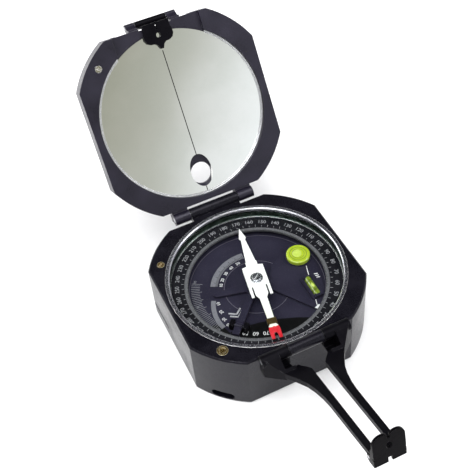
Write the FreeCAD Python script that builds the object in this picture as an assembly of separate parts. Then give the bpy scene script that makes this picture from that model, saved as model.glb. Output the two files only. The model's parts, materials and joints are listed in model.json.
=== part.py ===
"""Pocket sighting compass: a cast case with a dial and needle, a mirror lid and a folding sighting arm.

Frame, in millimetres: +Z up from the case's underside, +Y towards the lid hinge, +X to the right.
The origin is on the underside, on the needle's axis. The lid stands open and the arm is folded out.
"""
import FreeCAD, Part
import math
import os

V = FreeCAD.Vector

# ---------------------------------------------------------------- driving dimensions
half_width = 34.5           # case, across X
half_length = 34.0          # case, along Y
corner_radius = 39.45       # the four cut corners are arcs about the needle's axis
case_height = 24.5
edge_chamfer = 0.5
running_gap = 0.05          # radial clearance of a turning fit
part_gap = 0.3              # between faces that move past each other

# case interior, from the top down
bore_radius = 33.0          # for the bezel, glass and azimuth ring
ledge_radius = 30.8         # for the dial plate
well_radius = 28.4
well_floor = 5.0
ring_seat = 16.95           # height of the shoulder under the azimuth ring
dial_seat = 15.2            # height of the ledge under the dial plate
plate_thickness = 0.8       # dial plate, clinometer arm and lift lever

# bezel, glass and rings
bezel_inner_radius = 31.4
bezel_thickness = 1.3
glass_thickness = 1.2
spacer_inner_radius = 31.6
spacer_height = 2.0
wire_thickness = 0.6

# azimuth ring and its pinion
gear_module = 0.4
ring_teeth = 162
pinion_teeth = 14
pinion_angle = 146.1        # about the needle's axis, from +X
gear_height = 1.6
ring_inner_radius = 26.6
insert_inner_radius = 25.2
pinion_head_radius = 1.4

# needle and pivot
needle_height = 20.3        # underside of the blade
needle_bearing_deg = -10.9  # about +Z from the +Y axis
needle_tip = 25.6
needle_tail = 27.4
needle_thickness = 0.4
plate_half_width = 3.9      # the blade's middle, over the magnets
hub_radius = 2.3
pivot_tip_height = 20.9

# lock pin and lift lever
lock_x, lock_y = -25.0, -25.3
lock_travel = 0.6
fulcrum_radius = 20.0
lever_width = 2.6

# rear hinge and lid
lid_hinge_y = half_length + 3.1
lid_hinge_z = case_height + 0.5
barrel_radius = 2.2
hinge_pin_radius = 1.0
lid_gap = 0.2
lid_thickness = 9.0
lid_open_deg = 123.2        # from closed
lid_knuckle_inner = 10.1
lid_knuckle_outer = 16.4
mirror_depth = 1.4          # below the lid's inner face
mirror_radius = 31.2
mirror_thickness = 1.5
mirror_ring_radius = 31.8
lid_floor = 1.2             # behind the mirror, under the arm
lid_wall = 1.4
window_y = 22.6
window_half_width, window_half_length = 4.2, 6.35
window_hole_radius = 4.1

# sighting arm
arm_hinge_y = -half_length - 3.3
arm_hinge_z = case_height + 2.8
arm_drop = 3.2              # top face of the arm below the hinge axis
arm_thickness = 2.1
arm_raise_deg = 14.2        # above the horizontal
arm_length = 52.8
rail_half_width = 5.0
rail_tip_half_width = 4.75
slot_half_width = 2.5
slot_start, slot_end = 8.6, 46.8
arm_knuckle_inner, arm_knuckle_outer = 6.6, 16.5
bar_pocket_radius = 5.7     # swept by the bar on the lid's front edge
bar_pocket_half_width = 10.4
opening_half_width = 6.2

# sights
lid_sight_y = -half_length - 1.5
lid_sight_z = case_height + 6.6
lid_sight_half_width = 5.6
lid_sight_lug_outer = 10.0
sight_thickness = 1.0
tip_sight_half_width = 5.45
tip_sight_height = 9.0      # above the arm's top face
lobe_radius = 3.0
peep_radius = 1.0
nick_depth = 0.5             # in both edges of the leaf
leaf_thickness = 0.9
cheek_thickness = 0.4

os.makedirs("parts", exist_ok=True)


# ---------------------------------------------------------------- helpers
def cylinder(radius, low, high, x=0.0, y=0.0):
    return Part.makeCylinder(radius, high - low, V(x, y, low))


def tube(outer, inner, low, high, x=0.0, y=0.0):
    return cylinder(outer, low, high, x, y).cut(cylinder(inner, low, high, x, y))


def x_cylinder(radius, left, right, y, z):
    return Part.makeCylinder(radius, right - left, V(left, y, z), V(1, 0, 0))


def box(x0, x1, y0, y1, z0, z1):
    return Part.makeBox(x1 - x0, y1 - y0, z1 - z0, V(x0, y0, z0))


def fuse(shapes):
    return shapes[0].multiFuse(shapes[1:]).removeSplitter()


def polar(radius, angle_deg):
    angle = math.radians(angle_deg)
    return radius * math.cos(angle), radius * math.sin(angle)


def prism(points, low, high):
    corners = [V(x, y, low) for x, y in points]
    face = Part.Face(Part.makePolygon(corners + corners[:1]))
    return face.extrude(V(0, 0, high - low))


def mirrored_outline(points):
    """Close a half outline, given on the +X side, with its mirror image."""
    return points + [(-x, y) for x, y in reversed(points) if x]


def x_profile(points, left, right):
    """Extrude an outline of (y, z) points from left to right along X."""
    corners = [V(left, y, z) for y, z in points]
    face = Part.Face(Part.makePolygon(corners + corners[:1]))
    return face.extrude(V(right - left, 0, 0))


def rounded_outline(low, high, inset=0.0):
    """The case's outline: a rectangle whose corners are arcs about the needle's axis."""
    x, y = half_width - inset, half_length - inset
    block = box(-x, x, -y, y, low, high)
    return block.common(cylinder(corner_radius - inset, low, high))


def edges_at(shape, height):
    return [e for e in shape.Edges if all(abs(v.Z - height) < 1e-6 for v in e.Vertexes)]


def turned(shape, angle_deg, x=0.0, y=0.0):
    moved = shape.copy()
    moved.rotate(V(x, y, 0), V(0, 0, 1), angle_deg)
    return moved


def export(name, *shapes):
    shape = shapes[0] if len(shapes) == 1 else Part.makeCompound(list(shapes))
    if not shape.isValid():
        raise ValueError(name + " is not a valid shape")
    shape.exportStep("parts/" + name + ".step")


def slotted(shape, x, y, top, radius, depth=0.45):
    """Cut a screwdriver slot across a screw head that faces up."""
    slot = box(x - radius - 0.1, x + radius + 0.1, y - 0.22, y + 0.22, top - depth, top + 0.1)
    return shape.cut(turned(slot, 35, x, y))


def gear_outline(teeth, phase_deg):
    """Straight-flanked tooth outline with a little backlash, one tooth centred on phase_deg."""
    pitch_radius = gear_module * teeth / 2
    addendum, dedendum, backlash = 0.85 * gear_module, 1.15 * gear_module, 0.09
    half_pitch_tooth = math.pi * gear_module / 4 - backlash / 2
    flank = math.tan(math.radians(20))
    points = []
    for tooth in range(teeth):
        centre = math.radians(phase_deg) + 2 * math.pi * tooth / teeth
        for side, height in ((-1, -dedendum), (-1, addendum), (1, addendum), (1, -dedendum)):
            radius = pitch_radius + height
            angle = centre + side * (half_pitch_tooth - height * flank) / radius
            points.append((radius * math.cos(angle), radius * math.sin(angle)))
    return points


# ---------------------------------------------------------------- placing the hinged groups
def to_open_lid(shape):
    """Turn a piece modelled on the closed lid to where the open lid holds it."""
    moved = shape.copy()
    moved.rotate(V(0, lid_hinge_y, lid_hinge_z), V(-1, 0, 0), lid_open_deg)
    return moved


def to_arm(shape):
    """Place a piece drawn about the arm's hinge axis, with the arm along -Y, at the raised arm."""
    moved = shape.copy()
    moved.rotate(V(0, 0, 0), V(-1, 0, 0), arm_raise_deg)
    moved.translate(V(0, arm_hinge_y, arm_hinge_z))
    return moved


# ---------------------------------------------------------------- heights worked out from the above
glass_top = case_height - bezel_thickness
spacer_top = glass_top - glass_thickness
wire_top = spacer_top - spacer_height
azimuth_top = wire_top - wire_thickness - 0.15
gear_low = azimuth_top - gear_height
flange_low = azimuth_top - 1.0
dial_top = dial_seat + plate_thickness
clinometer_low = dial_top + 0.4
clinometer_top = clinometer_low + plate_thickness
lever_low = clinometer_top + 0.4
lever_top = lever_low + plate_thickness
lever_outer_top = dial_seat - 0.5
lever_outer_low = lever_outer_top - plate_thickness
ring_pitch_radius = gear_module * ring_teeth / 2
pinion_pitch_radius = gear_module * pinion_teeth / 2
pinion_x, pinion_y = polar(ring_pitch_radius + pinion_pitch_radius, pinion_angle)
lock_angle = math.degrees(math.atan2(lock_y, lock_x))
lock_radius = math.hypot(lock_x, lock_y)
lid_low = case_height + lid_gap
lid_high = lid_low + lid_thickness
mirror_front = lid_low + mirror_depth
mirror_back = mirror_front + mirror_thickness
channel_floor = mirror_back + lid_floor
outer_radius = corner_radius + 5


# ---------------------------------------------------------------- case
def case_body():
    body = rounded_outline(0, case_height)
    body = body.makeChamfer(edge_chamfer, edges_at(body, 0) + edges_at(body, case_height))
    rear_half = lid_knuckle_inner - part_gap
    front_half = arm_knuckle_inner - part_gap
    web = box(-rear_half, rear_half, half_length - 1.5, lid_hinge_y, lid_hinge_z - 3.2, lid_hinge_z)
    front_web = x_profile([(-half_length + 1.0, case_height - 5.5), (-half_length - 0.2, case_height - 5.5),
                           (arm_hinge_y - 1.2, arm_hinge_z - 1.8), (arm_hinge_y + 0.6, arm_hinge_z + 1.9),
                           (-half_length - 0.6, case_height - 0.6), (-half_length + 1.0, case_height - 0.6)],
                          -front_half, front_half)
    rear_barrel = x_cylinder(barrel_radius, -rear_half, rear_half, lid_hinge_y, lid_hinge_z)
    front_barrel = x_cylinder(barrel_radius, -front_half, front_half, arm_hinge_y, arm_hinge_z)
    rear_web = web.cut(box(-10, 10, half_length - 2, lid_hinge_y - 1.0, case_height, lid_hinge_z + 1))
    body = fuse([body, rear_web, rear_barrel, front_web, front_barrel])
    cuts = [
        cylinder(bore_radius, ring_seat, case_height + 1),
        cylinder(ledge_radius, dial_seat, case_height),
        cylinder(well_radius, well_floor, case_height),
        cylinder(16.0, -1, 2.2),
        x_cylinder(hinge_pin_radius, -12, 12, lid_hinge_y, lid_hinge_z),
        x_cylinder(hinge_pin_radius, -12, 12, arm_hinge_y, arm_hinge_z),
        lock_pocket(),
        pinion_pocket(),
        thumb_notch(),
    ]
    cuts += tripod_grooves() + dial_screw_holes()
    body = body.cut(Part.makeCompound(cuts))
    boss = cylinder(5.5, well_floor - 0.5, 11.0)
    return body.fuse(boss).cut(cylinder(3.5, 0, 12)).removeSplitter()


def lock_pocket():
    """Stepped hole for the lock pin, and the slot that lets the lift lever reach under it."""
    slot = box(ledge_radius - 4, lock_radius + 2.2, -lever_width / 2 - 0.5, lever_width / 2 + 0.5,
               lever_outer_low - 1.4, lever_outer_top + 0.5)
    return Part.makeCompound([
        cylinder(2.0, lock_bush_low, case_height + 1, lock_x, lock_y),
        cylinder(1.85, lock_spring_low, lock_bush_low + 0.1, lock_x, lock_y),
        cylinder(0.95, lever_outer_top, case_height, lock_x, lock_y),
        turned(slot, lock_angle),
    ])


def pinion_pocket():
    gear_room = gear_module * (pinion_teeth + 2) / 2 + 0.15
    return Part.makeCompound([
        cylinder(gear_room, gear_low - 0.1, azimuth_top + 0.1, pinion_x, pinion_y),
        cylinder(1.0 + running_gap, gear_low - 3.0, gear_low, pinion_x, pinion_y),
        cylinder(1.2 + running_gap, azimuth_top, case_height, pinion_x, pinion_y),
        cylinder(pinion_head_radius + 0.1, case_height - 1.3, case_height + 1, pinion_x, pinion_y),
    ])


def thumb_notch():
    """Rounded scoop low on the front left corner."""
    middle = [Part.makeCylinder(1.7, 6, V(36.6, offset, 2.6), V(1, 0, 0)) for offset in (-2.6, 2.6)]
    scoop = fuse(middle + [box(36.6, 42.6, -2.6, 2.6, 0.9, 4.3)])
    return turned(scoop, 225)


def tripod_grooves():
    return [box(side * half_width - 1.2, side * half_width + 1.2, 5.0, 22.0, 5.7, 6.9) for side in (-1, 1)]


screw_angles = (45, 180, 315)
screw_circle = 29.6


def dial_screw_holes():
    return [cylinder(0.6, dial_seat - 3.5, dial_seat + 0.1, *polar(screw_circle, a)) for a in screw_angles]


lock_bush_low = case_height - 3.0
lock_spring_low = lever_outer_top + 1.6
lock_collar_low = lock_bush_low - 1.0


# ---------------------------------------------------------------- dial works
def dial_plate():
    plate = tube(ledge_radius - 0.1, 2.6, dial_seat, dial_top)
    slot = box(22.4, 40, -lever_width / 2 - 0.4, lever_width / 2 + 0.4, dial_seat - 1, dial_top + 1)
    heads = [countersink(a) for a in screw_angles]
    places = [polar(fulcrum_radius, lock_angle + side * 7.5) for side in (-1, 1)]
    posts = [cylinder(0.8, dial_seat, dial_top, x, y) for x, y in places]
    return plate.cut(Part.makeCompound([turned(slot, lock_angle)] + heads + posts))


def countersink(angle, clear=0.0):
    x, y = polar(screw_circle, angle)
    return Part.makeCone(0.6 + clear, 1.15 + clear, plate_thickness, V(x, y, dial_seat))


def dial_screws():
    screws = []
    for angle in screw_angles:
        x, y = polar(screw_circle, angle)
        screw = countersink(angle).fuse(cylinder(0.6, dial_seat - 3.0, dial_seat, x, y))
        screws.append(slotted(screw, x, y, dial_top, 1.2))
    return screws


def lever_bracket():
    """Two bearing blocks riveted through the dial plate, one each side of the lift lever."""
    blocks = []
    for side in (-1, 1):
        x = fulcrum_radius * math.cos(math.radians(7.5))
        y = side * fulcrum_radius * math.sin(math.radians(7.5))
        block = box(x - 1.4, x + 1.4, y - 0.8, y + 0.8, dial_top, lever_top + 0.5)
        rivet = cylinder(0.8, dial_seat, dial_top, x, y)
        bore = Part.makeCylinder(0.5, 10, V(fulcrum_radius, -5, fulcrum_z), V(0, 1, 0))
        blocks.append(turned(block.fuse(rivet).cut(bore), lock_angle))
    return blocks


def lever_pin():
    pin = Part.makeCylinder(0.5, 6.8, V(fulcrum_radius, -3.4, fulcrum_z), V(0, 1, 0))
    return turned(pin, lock_angle)


fulcrum_z = lever_low + plate_thickness / 2


def lift_lever():
    """Rocking lever: the lock pin pushes its outer end down and the ring at its inner end rises."""
    half = lever_width / 2
    inner = box(2.4, 24.0, -half, half, lever_low, lever_top)
    riser = box(23.2, 24.0, -half, half, lever_outer_low, lever_top)
    outer = box(23.2, lock_radius + 1.4, -half, half, lever_outer_low, lever_outer_top)
    boss = Part.makeCylinder(1.0, 2 * half, V(fulcrum_radius, -half, fulcrum_z), V(0, 1, 0))
    body = fuse([inner, riser, outer, boss, cylinder(3.2, lever_low, lever_top)])
    bore = Part.makeCylinder(0.5 + running_gap, 10, V(fulcrum_radius, -5, fulcrum_z), V(0, 1, 0))
    return turned(body.cut(cylinder(1.7, 0, 40)).cut(bore), lock_angle)


def lock_pin():
    stem = cylinder(0.8, lever_outer_top + 0.02, lock_collar_low, lock_x, lock_y)
    collar = cylinder(1.7, lock_collar_low, lock_bush_low - 0.02, lock_x, lock_y)
    head = cylinder(1.15, lock_bush_low - 0.05, case_height - 0.15, lock_x, lock_y)
    return fuse([stem, collar, head])


def lock_pin_bush():
    bush = tube(2.0, 1.2, lock_bush_low, case_height + 0.05, lock_x, lock_y)
    return bush


def lock_spring():
    """Compression spring round the lock pin's stem."""
    wire = 0.22
    low, high = lock_spring_low + wire, lock_collar_low - wire
    helix = Part.makeHelix((high - low) / 4, high - low, 1.3)
    helix.translate(V(lock_x, lock_y, low))
    start = helix.Edges[0].valueAt(helix.Edges[0].FirstParameter)
    heading = helix.Edges[0].tangentAt(helix.Edges[0].FirstParameter)
    section = Part.Wire(Part.makeCircle(wire, start, heading))
    return Part.Wire(helix.Edges).makePipeShell([section], True, True)


def azimuth_ring():
    """Turning ring: outer teeth, a flange for the figures, and a step for the graduated insert."""
    rim = prism(gear_outline(ring_teeth, pinion_angle), gear_low, azimuth_top)
    rim = rim.cut(cylinder(31.0, gear_low - 1, flange_low))
    rim = rim.cut(cylinder(ring_inner_radius, flange_low - 1, azimuth_top + 1))
    return rim


def graduated_insert():
    body = tube(ring_inner_radius, insert_inner_radius, flange_low - 0.1, azimuth_top - 0.3)
    return body


def pinion():
    gear = prism(gear_outline(pinion_teeth, 0), gear_low, azimuth_top - 0.3)
    gap_towards_ring = 180.0 / pinion_teeth + pinion_angle + 180
    gear = turned(gear, gap_towards_ring)
    gear.translate(V(pinion_x, pinion_y, 0))
    journal = cylinder(1.0, gear_low - 2.8, gear_low, pinion_x, pinion_y)
    return fuse([gear, journal]).cut(pinion_square(azimuth_top - 1.6, azimuth_top))


def pinion_square(low, high):
    return turned(box(pinion_x - 0.6, pinion_x + 0.6, pinion_y - 0.6, pinion_y + 0.6, low, high),
                  20, pinion_x, pinion_y)


def pinion_screw():
    """Slotted adjusting screw that turns the pinion through a square."""
    shaft = cylinder(1.2, azimuth_top - 0.3, case_height - 1.0, pinion_x, pinion_y)
    head = cylinder(pinion_head_radius, case_height - 1.2, case_height + 0.05, pinion_x, pinion_y)
    screw = fuse([shaft, head, pinion_square(azimuth_top - 1.5, azimuth_top)])
    return slotted(screw, pinion_x, pinion_y, case_height + 0.05, pinion_head_radius)


# ---------------------------------------------------------------- clinometer
round_level_x, round_level_y = 19.3, 4.4
tube_level_x, tube_level_y = 17.0, -11.2
level_top = 19.25


def clinometer_arm():
    """Flat arm: a finger to the scales on one side, a plate with both levels on the other."""
    sector = [(3.0, -3.5), (12.2, -17.4), (15.0, -21.6), (16.8, -20.4), (20.2, -15.6),
              (23.4, -3.0), (23.7, 2.0), (23.2, 4.4), (18.0, 9.6), (9.0, 6.0)]
    finger = turned(prism([(0, -2.4), (15.5, -1.0), (16.5, 0), (15.5, 1.0), (0, 2.4)],
                          clinometer_low, clinometer_top), 170)
    plate = fuse([prism(sector, clinometer_low, clinometer_top), finger,
                  cylinder(5.0, clinometer_low, clinometer_top),
                  cylinder(4.9, clinometer_low, clinometer_top, round_level_x, round_level_y)])
    holes = Part.makeCompound([
        cylinder(4.2, 0, 40, round_level_x, round_level_y),
        cylinder(1.5, 0, 40),
        box(tube_level_x - 1.45, tube_level_x + 1.45, tube_level_y - 4.3, tube_level_y + 4.3, 0, 40),
    ])
    return plate.cut(holes)


def clinometer_shaft():
    shaft = cylinder(2.0, 0.9, clinometer_low)
    top = cylinder(1.5, clinometer_low - 1, clinometer_top)
    square = box(-1.2, 1.2, -1.2, 1.2, 0, 5)
    flats = cylinder(2.1, 0.4, 1.9).cut(square)
    shaft = fuse([shaft, top, square.common(cylinder(2.0, 0.45, 2))]).cut(flats)
    return shaft.cut(cylinder(0.8, clinometer_top - 4, clinometer_top)).cut(cylinder(0.6, 0, 3.6))


def shaft_bush():
    flange = tube(4.6, 3.0, 11.0, 11.8)
    return tube(3.5, 2.0 + running_gap, 2.2, 11.8).fuse(flange)


def clinometer_crank():
    """Thumb lever in the round recess under the case."""
    hub = cylinder(3.6, 0.45, 1.9)
    blade = prism([(0, -2.6), (11.5, -1.9), (13.5, 0), (11.5, 1.9), (0, 2.6)], 0.45, 1.9)
    tip = cylinder(2.2, 0.45, 1.9, 12.4, 0)
    lever = turned(fuse([hub, blade, tip]), 225)
    return lever.cut(box(-1.2, 1.2, -1.2, 1.2, 0, 5))


def crank_screw():
    head = cylinder(2.2, 0.1, 0.45)
    screw = head.fuse(cylinder(0.6, 0.1, 3.2))
    return screw.cut(box(-2.3, 2.3, -0.25, 0.25, 0.0, 0.3))


def spring_washer():
    return tube(3.4, 2.2, 11.9, 12.2)


def shaft_clip():
    """Retaining ring that keeps the shaft from dropping through its bush."""
    return tube(3.0, 2.0, 12.3, 12.8).cut(box(0, 4, -0.6, 0.6, 12, 13))


def round_level_cup():
    cup = cylinder(4.2, clinometer_low, clinometer_top + 0.5, round_level_x, round_level_y)
    flange = cylinder(4.7, clinometer_top, clinometer_top + 0.5, round_level_x, round_level_y)
    return cup.fuse(flange).cut(cylinder(3.7, clinometer_low + 0.5, 30, round_level_x, round_level_y))


def round_level_vial():
    lens = cylinder(4.5, clinometer_top + 0.5, level_top, round_level_x, round_level_y)
    lens = lens.makeFillet(0.5, edges_at(lens, level_top))
    return lens.fuse(cylinder(3.7, clinometer_low + 0.5, clinometer_top + 0.6, round_level_x, round_level_y))


def tube_level_holder():
    x, y = tube_level_x, tube_level_y
    block = box(x - 2.4, x + 2.4, y - 5.0, y + 5.0, clinometer_top, clinometer_top + 0.9)
    ends = [box(x - 1.4, x + 1.4, y + s * 4.4 - 0.6, y + s * 4.4 + 0.6, clinometer_top, level_top - 0.3)
            for s in (-1, 1)]
    holder = fuse([block] + ends)
    return holder.cut(tube_vial_shape(0.0)).cut(box(x - 1.3, x + 1.3, y - 3.7, y + 3.7, 0, 40))


def tube_vial_shape(grow):
    z = level_top - 1.35
    return Part.makeCylinder(1.3 + grow, 8.4, V(tube_level_x, tube_level_y - 4.2, z), V(0, 1, 0))


# ---------------------------------------------------------------- needle
def needle_outline():
    """Half outline of the blade, from the tip to the forked tail."""
    half = plate_half_width
    return [(0, needle_tip), (0.9, needle_tip - 3.4), (1.35, needle_tip - 5.0), (0.8, needle_tip - 6.0),
            (1.35, needle_tip - 11.6), (1.8, 8.6), (2.1, 8.2), (2.1, 6.4), (half, 6.0), (half, -8.2),
            (half - 1.0, -8.2), (half - 1.0, -3.4), (2.3, -3.4), (2.3, -7.4), (1.35, -9.2),
            (1.15, -21.4), (1.6, -21.9), (2.0, -23.4),
            (1.9, -needle_tail), (0.8, -needle_tail), (0.5, -24.9)]


def needle_blade():
    blade = prism(mirrored_outline(needle_outline()), needle_height, needle_height + needle_thickness)
    wings = []
    for side in (-1, 1):
        x0, x1 = sorted((side * plate_half_width, side * (plate_half_width - 0.4)))
        wings.append(box(x0, x1, -5.6, 5.4, needle_height - 0.85, needle_height + needle_thickness))
    blade = fuse([blade] + wings).cut(cylinder(1.6, 0, 40))
    return turned(blade, needle_bearing_deg)


def needle_magnets():
    bars = []
    for side in (-1, 1):
        x0, x1 = sorted((side * 1.9, side * 2.75))
        bars.append(turned(box(x0, x1, -5.2, 5.0, needle_height - 0.8, needle_height), needle_bearing_deg))
    return bars


def needle_hub():
    """Turned cap on the blade that holds the jewel."""
    top = needle_height + needle_thickness
    cap = cylinder(hub_radius, top, top + 0.5).fuse(cylinder(1.6, needle_height - 0.5, top + 1.0))
    cap = cap.cut(cylinder(0.9, needle_height - 1, top + 0.65))
    return slotted(cap, 0, 0, top + 1.0, 1.7, 0.25)


def needle_jewel():
    top = needle_height + needle_thickness + 0.65
    jewel = cylinder(0.9, top - 0.75, top)
    return jewel.cut(Part.makeCone(0.55, 0.05, 0.5, V(0, 0, top - 0.75)))


def balance_wire():
    """A few turns of wire round the tail that level the needle."""
    turns = []
    for index in range(5):
        y = -19.0 - 0.5 * index
        low, high = needle_height, needle_height + needle_thickness
        outer = box(-1.75, 1.75, y - 0.22, y + 0.22, low - 0.3, high + 0.3)
        inner = box(-1.4, 1.4, y - 1, y + 1, low, high)
        turns.append(turned(outer.cut(inner), needle_bearing_deg))
    return turns


def pivot_post():
    low = clinometer_top - 3.6
    thread = cylinder(0.8, low, clinometer_top)
    collar = cylinder(1.3, clinometer_top, clinometer_top + 0.35)
    stem = cylinder(0.7, clinometer_top, pivot_tip_height - 1.4)
    point = Part.makeCone(0.7, 0.08, 1.38, V(0, 0, pivot_tip_height - 1.4))
    return fuse([thread, collar, stem, point])


# ---------------------------------------------------------------- top of the case
def bezel_ring():
    ring = tube(bore_radius - 0.05, bezel_inner_radius, glass_top, case_height)
    return ring.makeChamfer(0.35, [e for e in edges_at(ring, case_height) if e.Curve.Radius < 32])


def glass_spacer():
    return tube(bore_radius - 0.05, spacer_inner_radius, wire_top, spacer_top)


def dial_wire():
    ring = tube(bore_radius - 0.05, 31.3, wire_top - wire_thickness, wire_top)
    return ring


# ---------------------------------------------------------------- lid, modelled closed
def arm_half_outline(margin=0.0):
    """Half outline of the arm, from the hinge to the tip, as (x, distance from the hinge axis)."""
    m = margin
    return [(arm_knuckle_outer + m, -barrel_radius), (arm_knuckle_outer + m, 0.9), (14.2 + m, 3.2),
            (11.2 + m, 6.0), (8.9 + m, 9.8), (7.0 + m, 13.6), (6.0 + m, 17.0), (5.3 + m, 21.0),
            (rail_half_width + m, 25.0)]


def lid_channel(grow, low):
    """Room for the folded arm in the lid's back, right through from the front edge to the rear."""
    half = [(x, arm_hinge_y + d) for x, d in arm_half_outline(0.6 + grow)]
    half = [(half[0][0], -outer_radius)] + half[1:] + [(rail_half_width + 1.6 + grow, half[-1][1] + 3)]
    half += [(rail_half_width + 1.6 + grow, outer_radius)]
    return prism(mirrored_outline(half), low, lid_high + 5)


def lid_shell():
    shell = rounded_outline(lid_low, lid_high)
    shell = shell.makeChamfer(edge_chamfer, edges_at(shell, lid_high))
    room = cylinder(mirror_radius - 1.8, mirror_back - 0.1, lid_high - lid_wall)
    room = room.cut(lid_channel(lid_wall, 0))
    knuckles = []
    for side in (-1, 1):
        left, right = sorted((side * lid_knuckle_inner, side * lid_knuckle_outer))
        web = box(left, right, half_length - 1.0, lid_hinge_y + 1.2, lid_hinge_z + 0.3, lid_hinge_z + 4.0)
        knuckles += [web, x_cylinder(barrel_radius, left, right, lid_hinge_y, lid_hinge_z)]
    shell = fuse([shell] + knuckles)
    cuts = [
        lid_channel(0.0, channel_floor),
        room,
        cylinder(mirror_ring_radius, lid_low - 1, mirror_front),
        cylinder(mirror_radius, mirror_front - 0.1, mirror_back),
        box(-17, 17, -half_length - 1, -26.0, lid_low - 1, mirror_front - 0.1),
        box(-6.3, 6.3, -half_length - 1, -half_length + 0.5, 0, lid_high + 1),
        x_profile([(-half_length - 0.1, lid_low + 1.7), (-half_length + 3.0, channel_floor + 1.0),
                   (-half_length - 0.1, channel_floor + 1.0)],
                  -arm_knuckle_outer - 0.6, arm_knuckle_outer + 0.6),
        cylinder(window_hole_radius, 0, lid_high + 9, 0, window_y + 1.2),
        x_cylinder(hinge_pin_radius + running_gap, -20, 20, lid_hinge_y, lid_hinge_z),
        cylinder(1.35, lid_low - 1, lid_low + 2.2, lock_x, lock_y),
        cylinder(0.9, lid_low, lid_low + 4.5, lock_x, lock_y),
    ]
    shell = shell.cut(Part.makeCompound(cuts))
    lugs = []
    for side in (-1, 1):
        left, right = sorted((side * 6.3, side * lid_sight_lug_outer))
        lug = x_cylinder(1.4, left, right, lid_sight_y, lid_sight_z)
        web_front, web_back = lid_sight_y + 0.75, -half_length + 1.2
        web = x_profile([(web_front, lid_low + 1.7), (web_back, lid_low + 1.7),
                         (web_back, lid_sight_z - 1.2), (lid_sight_y + 0.9, lid_sight_z + 0.9),
                         (lid_sight_y - 0.9, lid_sight_z - 0.9), (web_front, channel_floor - 0.4)],
                        left, right)
        lugs += [lug, web]
    shell = fuse([shell] + lugs)
    return shell.cut(x_cylinder(0.6, -12, 12, lid_sight_y, lid_sight_z))


def lid_lock_screw():
    head = cylinder(1.25, lid_low - 0.1, lid_low + 1.2, lock_x, lock_y)
    screw = head.fuse(cylinder(0.9, lid_low, lid_low + 4.2, lock_x, lock_y))
    slot = box(lock_x - 2, lock_x + 2, lock_y - 0.25, lock_y + 0.25, lid_low - 0.2, lid_low + 0.4)
    return screw.cut(turned(slot, 40, lock_x, lock_y))


def mirror():
    disc = cylinder(mirror_radius - 0.05, mirror_front, mirror_back)
    ellipse = Part.Ellipse(V(0, window_y, 0), window_half_length, window_half_width)
    edge = ellipse.toShape()
    edge.rotate(V(0, window_y, 0), V(0, 0, 1), 90)
    window = Part.Face(Part.Wire(edge)).extrude(V(0, 0, 60))
    return disc.cut(window)


def mirror_ring():
    """Split ring of stepped section that holds the mirror, open where the lid sight folds in."""
    rim = tube(mirror_ring_radius - 0.05, mirror_ring_radius - 0.45, mirror_front - 0.6, mirror_front)
    lip = tube(mirror_ring_radius - 0.4, mirror_ring_radius - 0.95, mirror_front - 0.25, mirror_front)
    return fuse([rim, lip]).cut(box(-17.2, 17.2, -40, -20, 0, 60))


def lid_sight():
    """Bent leaf: barrel, riser down the lid's front edge, and a lobed plate over the mirror."""
    low = case_height + 0.3
    high = low + sight_thickness
    riser_y = -half_length - 0.8
    tip_y = -25.1
    plate_half = [(lid_sight_half_width - 0.4, riser_y), (lid_sight_half_width - 0.4, -32.0),
                  (lid_sight_half_width, -31.0), (lid_sight_half_width, -29.4), (4.9, -28.1), (3.6, -27.4),
                  (2.1, -27.3), (1.2, -26.6), (0.5, tip_y)]
    plate = prism(mirrored_outline(plate_half), low, high)
    half = lid_sight_half_width - 0.4
    riser = box(-half, half, riser_y, riser_y + sight_thickness, low, lid_sight_z - 0.3)
    barrel = x_cylinder(1.4, -6.0, 6.0, lid_sight_y, lid_sight_z)
    leaf = fuse([plate, riser, barrel])
    peep = cylinder(0.9, 0, 60, 0, -30.1)
    slit = box(-0.25, 0.25, -half_length - 2, -32.2, 0, lid_sight_z - 2.0)
    pivot = x_cylinder(0.6 + running_gap, -9, 9, lid_sight_y, lid_sight_z)
    return leaf.cut(Part.makeCompound([peep, slit, pivot]))


# ---------------------------------------------------------------- arm, drawn about its hinge axis
def sighting_arm():
    """Flared, slotted arm; w is measured up from the hinge axis, and the arm runs along -Y."""
    top, low = -arm_drop, -arm_drop - arm_thickness
    tip = arm_length - 2.0
    outer = [(x, -d) for x, d in arm_half_outline()] + [(rail_tip_half_width, -tip)]
    plate = prism(mirrored_outline(outer), low, top)
    opening = [(arm_knuckle_inner - 0.2, 9), (arm_knuckle_inner - 0.2, -2.2), (opening_half_width, -2.6),
               (opening_half_width - 0.3, -3.8), (4.9, -5.6), (3.6, -7.0), (slot_half_width, -slot_start),
               (slot_half_width, -slot_end)]
    plate = plate.cut(prism(mirrored_outline(opening), low - 1, top + 1))
    legs = x_profile([(-1.2, 1.8), (-2.2, 1.3), (-6.0, top), (-6.0, low - 0.8), (0.6, low - 0.8),
                      (2.0, -1.0)], -arm_knuckle_outer, arm_knuckle_outer)
    legs = legs.common(prism(mirrored_outline(outer), low - 1, 2))
    legs = legs.cut(box(-arm_knuckle_inner, arm_knuckle_inner, -9, 9, low - 2, 3))
    pieces = [plate, legs]
    for side in (-1, 1):
        left, right = sorted((side * arm_knuckle_inner, side * arm_knuckle_outer))
        pieces.append(x_cylinder(barrel_radius, left, right, 0, 0))
    arm = fuse(pieces)
    pivot = x_cylinder(0.6 + running_gap, -20, 20, tip_pivot_v, tip_pivot_w)
    arm = arm.cut(x_cylinder(hinge_pin_radius + running_gap, -20, 20, 0, 0)).cut(pivot)
    reach = bar_pocket_half_width
    barrel = x_cylinder(barrel_radius, -20, 20, 0, 0)
    bar_pocket = x_cylinder(bar_pocket_radius, -reach, reach, 0, 0).cut(barrel)
    bar_pocket = bar_pocket.cut(box(-20, 20, -0.2, 9, -9, 0))
    return to_arm(arm.cut(bar_pocket))


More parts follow.
